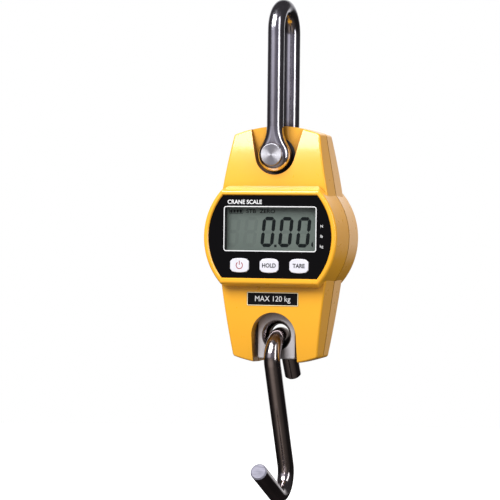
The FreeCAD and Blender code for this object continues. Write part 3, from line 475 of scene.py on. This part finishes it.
def panel_print(ink):
    """White border round the window, the unit names, and a plain word above the window."""
    low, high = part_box("window_lens")
    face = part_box("display_panel")[0].y - PRINT_PROUD
    gap = 0.1 * MM

    def border(bm):
        frame_band(bm, (low.x - gap, low.z - gap), (high.x + gap, high.z + gap),
                   width=0.55 * MM, corner=1.1 * MM, y=face)

    new_mesh("window_border", border, ink, "housing")
    units_x = high.x + 3.9 * MM
    first_row_z = high.z - 11.0 * MM
    row_pitch = 5.9 * MM
    for row, unit in enumerate(("N", "lb", "kg")):
        lettering("unit_" + unit, unit, 1.7 * MM,
                  Vector((units_x, face, first_row_z - row_pitch * row)), ink, "housing")
    lettering("panel_word", "CRANE SCALE", 2.5 * MM,
              Vector((low.x + 1.6 * MM, face, high.z + 3.0 * MM)), ink, "housing",
              weight=BOLD, align="LEFT")


def segment_digit(bm, x, z, lit, y):
    """Seven-segment figure with its lower left corner at (x, z); lit names its segments."""
    gap = 0.05 * DIGIT_BAR
    half = 0.5 * DIGIT_BAR
    left, right = half, DIGIT_WIDTH - half
    bottom, middle, top = half, 0.5 * DIGIT_HEIGHT, DIGIT_HEIGHT - half

    def bar_shape(a, b):
        """Six-sided bar between two points, pointed at both ends."""
        along = (Vector(b) - Vector(a)).normalized()
        side = Vector((-along.y, along.x)) * half
        start = Vector(a) + along * gap
        end = Vector(b) - along * gap
        tip = along * half
        return [start, start + tip + side, end - tip + side,
                end, end - tip - side, start + tip - side]

    bars = {"a": ((left, top), (right, top)), "b": ((right, middle), (right, top)),
            "c": ((right, bottom), (right, middle)), "d": ((left, bottom), (right, bottom)),
            "e": ((left, bottom), (left, middle)), "f": ((left, middle), (left, top)),
            "g": ((left, middle), (right, middle))}
    for key in lit:
        shape = bar_shape(*bars[key])
        plate(bm, [(x + p.x + DIGIT_SLANT * p.y, z + p.y) for p in shape], y)


def lcd_segments():
    """Dark segments of the reading 0.00, faint unlit ones, and the small signs above."""
    dark = printed_ink("segment_dark", (0.004, 0.008, 0.009), 0.55, 0.1)
    faint = printed_ink("segment_faint", (0.163, 0.204, 0.182), 0.5)
    window_low, window_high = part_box("window_lens")
    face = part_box("lcd_glass")[0].y - PRINT_PROUD
    unlit_face = face + 0.005 * MM
    base = window_low.z + 2.0 * MM
    last = window_high.x - 13.6 * MM

    def reading(bm):
        for k in range(3):
            segment_digit(bm, last - DIGIT_PITCH * k, base, "abcdef", face)
        plate(bm, rectangle(last - DIGIT_PITCH - 2.2 * MM, base, 1.5 * MM, 1.5 * MM), face)
        # Arrow beside the unit in use
        arrow_left = window_high.x - 3.7 * MM
        arrow_right = arrow_left + 1.0 * MM
        plate(bm, [(arrow_left, base + 1.0 * MM), (arrow_right, base),
                   (arrow_right, base + 3.6 * MM), (arrow_left, base + 2.6 * MM)], face)

    def unlit(bm):
        for k, segments in ((3, "abcdefg"), (4, "abcdefg"), (0, "g"), (1, "g"), (2, "g")):
            segment_digit(bm, last - DIGIT_PITCH * k, base, segments, unlit_face)

    def battery_sign(bm):
        left = window_low.x + 1.6 * MM
        top = window_high.z - 1.2 * MM
        frame_band(bm, (left, top - 2.4 * MM), (left + 8.2 * MM, top),
                   width=0.28 * MM, corner=0.15 * MM, y=face)
        for k in range(4):
            cell_left = left + (0.3 + 1.95 * k) * MM
            plate(bm, rectangle(cell_left, top - 2.1 * MM, 1.5 * MM, 1.8 * MM), face)

    new_mesh("lcd_reading", reading, dark, "housing")
    new_mesh("lcd_unlit", unlit, faint, "housing")
    new_mesh("lcd_battery_sign", battery_sign, dark, "housing")
    sign_z = window_high.z - 2.4 * MM
    for text, left in (("STB", 12.0), ("ZERO", 20.6)):
        lettering("lcd_" + text.lower(), text, 2.3 * MM,
                  Vector((window_low.x + left * MM, face, sign_z)), dark, "housing",
                  stretch=1.2, weight=BOLD, align="LEFT")


def key_print():
    """Power sign and the two words, printed on the keys."""
    red = printed_ink("legend_red", (0.32, 0.02, 0.03))
    grey = printed_ink("legend_grey", (0.012, 0.012, 0.018))

    def key_face(key):
        """Middle of a key's front, just proud of it."""
        low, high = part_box(key)
        middle = (low + high) / 2
        return Vector((middle.x, low.y - PRINT_PROUD, middle.z))

    def power_sign(bm):
        centre = key_face("power_key")
        radius = 2.0 * MM
        line = 0.26 * MM
        steps = 30
        outer = arc_points(centre.x, centre.z, radius + line, 125.0, 415.0, steps)
        inner = arc_points(centre.x, centre.z, radius - line, 125.0, 415.0, steps)
        for k in range(steps):
            plate(bm, [outer[k], outer[k + 1], inner[k + 1], inner[k]], centre.y)
        plate(bm, rectangle(centre.x - line, centre.z + 0.3 * MM, 2.0 * line, 2.4 * MM),
              centre.y)

    new_mesh("power_sign", power_sign, red, "power_key")
    for key, word in (("hold_key", "HOLD"), ("tare_key", "TARE")):
        lettering(word.lower() + "_word", word, 2.5 * MM, key_face(key), grey, key,
                  stretch=0.92, weight=EXTRA_BOLD)


def label_print():
    """Rated load, and a pale line round the label: a painted highlight standing for the lit edge of the label's
    recess.
    """
    ink = printed_ink("label_ink", (0.8, 0.8, 0.8))
    low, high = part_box("capacity_label")
    centre = (low + high) / 2
    lettering("label_text", "MAX 120 kg", 3.4 * MM,
              Vector((centre.x, low.y - 2.0 * PRINT_PROUD, centre.z)), ink, "housing",
              stretch=0.95)
    inset = 0.45 * MM

    def border(bm):
        frame_band(bm, (low.x + inset, low.z + inset), (high.x - inset, high.z - inset),
                   width=0.4 * MM, corner=0.2 * MM, y=low.y - 0.5 * PRINT_PROUD)

    # Painted highlight: a pale yellow line just inside the label's edge stands for the lit rim of its recess.
    pale = printed_ink("edge_highlight_ink", (0.92, 0.8, 0.52))
    new_mesh("label_edge_highlight", border, pale, "housing")


# ------------------------------------------------------------------ studio

def link_stage(name, mesh, material, camera=False, glossy=False):
    """Stage object seen only by the camera or only in reflections."""
    mesh.materials.append(material)
    obj = bpy.data.objects.new(name, mesh)
    bpy.context.scene.collection.objects.link(obj)
    obj.visible_camera = camera
    obj.visible_diffuse = False
    obj.visible_glossy = glossy
    obj.visible_transmission = camera
    obj.visible_shadow = False
    return obj


def glow(name):
    """Plain white emitting material, not sampled as a light."""
    s = Shader(name, (0.0, 0.0, 0.0), 1.0)
    s.set("Specular IOR Level", 0.0)
    s.set("Emission Color", (1.0, 1.0, 1.0, 1.0))
    s.set("Emission Strength", 1.0)
    s.material.cycles.emission_sampling = "NONE"
    return s


def ball(name, radius, centre):
    """Sphere mesh about centre."""
    return mesh_from(name, lambda bm: bmesh.ops.create_uvsphere(
        bm, u_segments=64, v_segments=32, radius=radius, matrix=Matrix.Translation(centre)))


def add_floor():
    """Pale floor well below the hook, seen by the camera only, so no steel mirrors it."""
    floor_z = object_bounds()[0][2] - FLOOR_DROP
    mesh = mesh_from("floor", lambda bm: bmesh.ops.create_circle(
        bm, cap_ends=True, segments=96, radius=FLOOR_RADIUS,
        matrix=Matrix.Translation((0, 0, floor_z))))
    s = Shader("floor_white", (0.82, 0.82, 0.82), 0.7)
    s.set("Base Color", s.two_tone(0.4, (0.81, 0.81, 0.81), (0.83, 0.83, 0.83), 2.0))
    s.set("Emission Color", (1.0, 1.0, 1.0, 1.0))
    s.set("Emission Strength", 0.9)
    s.bump(s.noise(0.002, 3.0), 0.1 * MM, 0.2)
    s.material.cycles.emission_sampling = "NONE"
    link_stage("floor", mesh, s.material, camera=True)


def add_backdrop():
    """White surround for the camera."""
    material = glow("backdrop_white").material
    link_stage("backdrop", ball("backdrop", BACKDROP_RADIUS, PIN), material, camera=True)


def heading(azimuth, elevation):
    """Unit vector, angles in degrees; azimuth 0 is in front (-Y), positive to the right."""
    a = math.radians(azimuth)
    e = math.radians(elevation)
    return Vector((math.sin(a) * math.cos(e), -math.cos(a) * math.cos(e), math.sin(e)))


def add_surround():
    """What the gloss reflects: a dim room, a dark floor, a white sheet behind the object."""
    s = glow("surround")
    direction = s.vector("NORMALIZE", s.place)
    height = s.node("ShaderNodeSeparateXYZ", (("Vector", direction),)).outputs["Z"]

    def towards(azimuth, elevation=0.0):
        """Cosine of the angle from a direction."""
        return s.vector("DOT_PRODUCT", direction, tuple(heading(azimuth, elevation)))

    above = s.spread(height, 0.0, 1.0, -0.08, 0.1)
    frontal = s.spread(towards(8.0), 0.0, 1.0, 0.2, 0.95)
    wall = s.blend(frontal, (0.045, 0.042, 0.045), (0.17, 0.16, 0.195))
    glow_left = s.math("MULTIPLY", s.spread(towards(-24.0, 8.0), 0.0, 1.0, 0.86, 1.0),
                       s.spread(height, 0.0, 1.0, 0.025, 0.06))
    wall = s.blend(glow_left, wall, (0.72, 0.7, 0.78))
    pool = s.spread(towards(-4.0, -25.0), 0.0, 1.0, 0.75, 1.0)
    ahead = s.spread(towards(12.0, -62.0), 0.0, 1.0, 0.45, 0.9)
    ground = s.blend(ahead, (0.014, 0.012, 0.012), (0.085, 0.071, 0.063))
    ground = s.blend(pool, ground, (0.38, 0.32, 0.28))
    room = s.blend(above, ground, wall)
    sheet = s.math("MULTIPLY", s.spread(towards(200.0), 0.0, 1.0, 0.72, 0.92),
                   s.spread(height, 0.0, 1.0, -0.2, -0.05))
    s.set("Emission Color", s.blend(sheet, room, (0.95, 0.95, 0.95)))
    # Its colours go by direction from its own centre, so it is moved to the pin as a whole
    sphere = ball("surround", SURROUND_RADIUS, Vector())
    link_stage("surround", sphere, s.material, glossy=True).location = PIN


def add_light(name, centre, azimuth, elevation, distance, size, power, glossy=True):
    """Rectangular soft light of size metres and power watts, aimed at centre."""
    light = bpy.data.lights.new(name, "AREA")
    light.shape = "RECTANGLE"
    light.size = size[0]
    light.size_y = size[1]
    light.energy = power
    obj = bpy.data.objects.new(name, light)
    obj.location = centre + distance * heading(azimuth, elevation)
    obj.rotation_euler = (centre - obj.location).to_track_quat("-Z", "Y").to_euler()
    obj.visible_camera = False
    obj.visible_glossy = glossy
    bpy.context.scene.collection.objects.link(obj)


def add_studio():
    """Soft even light, a softbox up to the left, a tall strip to the right, a light behind."""
    centre = PIN + Vector((0.0, 0.0, -0.03))
    world = bpy.data.worlds.new("studio")
    world.use_nodes = True
    nodes = world.node_tree.nodes
    links = world.node_tree.links
    place = nodes.new("ShaderNodeTexCoord")
    split = nodes.new("ShaderNodeSeparateXYZ")
    links.new(place.outputs["Generated"], split.inputs[0])
    level = nodes.new("ShaderNodeMapRange")
    links.new(split.outputs["Z"], level.inputs["Value"])
    for key, value in (("From Min", -0.3), ("From Max", 0.5),
                       ("To Min", 0.28), ("To Max", 0.66)):
        level.inputs[key].default_value = value
    links.new(level.outputs["Result"], nodes["Background"].inputs["Strength"])
    nodes["Background"].inputs["Color"].default_value = (1.0, 1.0, 1.0, 1.0)
    world.cycles_visibility.camera = False
    world.cycles_visibility.glossy = False
    bpy.context.scene.world = world
    add_light("key", centre, azimuth=-20.0, elevation=41.0, distance=1.2,
              size=(0.8, 0.74), power=19.5)
    add_light("strip", centre, azimuth=62.0, elevation=18.0, distance=1.2,
              size=(0.28, 1.2), power=4.2)
    add_light("back", centre, azimuth=190.0, elevation=35.0, distance=1.4,
              size=(1.0, 0.8), power=9.0, glossy=False)


def add_camera():
    """Camera level with the housing, to the right of the front; long lens, slight roll."""
    azimuth = math.radians(CAMERA_AZIMUTH)
    roll = math.radians(CAMERA_ROLL)
    back = heading(CAMERA_AZIMUTH, CAMERA_ELEVATION)
    right = Vector((math.cos(azimuth), math.sin(azimuth), 0.0))
    up = back.cross(right)
    right_rolled = math.cos(roll) * right + math.sin(roll) * up
    up_rolled = math.cos(roll) * up - math.sin(roll) * right
    data = bpy.data.cameras.new("camera")
    data.lens = CAMERA_LENS_MM
    data.sensor_width = 36.0
    data.clip_start = 0.05
    data.clip_end = 50.0
    camera = bpy.data.objects.new("camera", data)
    rotation = Matrix((right_rolled, up_rolled, back)).transposed()
    place = (PIN + CAMERA_DISTANCE * back
             + CAMERA_ASIDE * right_rolled + CAMERA_RISE * up_rolled)
    camera.matrix_world = Matrix.Translation(place) @ rotation.to_4x4()
    bpy.context.scene.collection.objects.link(camera)
    bpy.context.scene.camera = camera


paint_nodes()
panel_print(printed_ink("white_ink", (0.85, 0.85, 0.86)))
lcd_segments()
key_print()
label_print()
add_floor()
add_backdrop()
add_surround()
add_studio()
add_camera()
bpy.context.scene.view_settings.view_transform = "Standard"
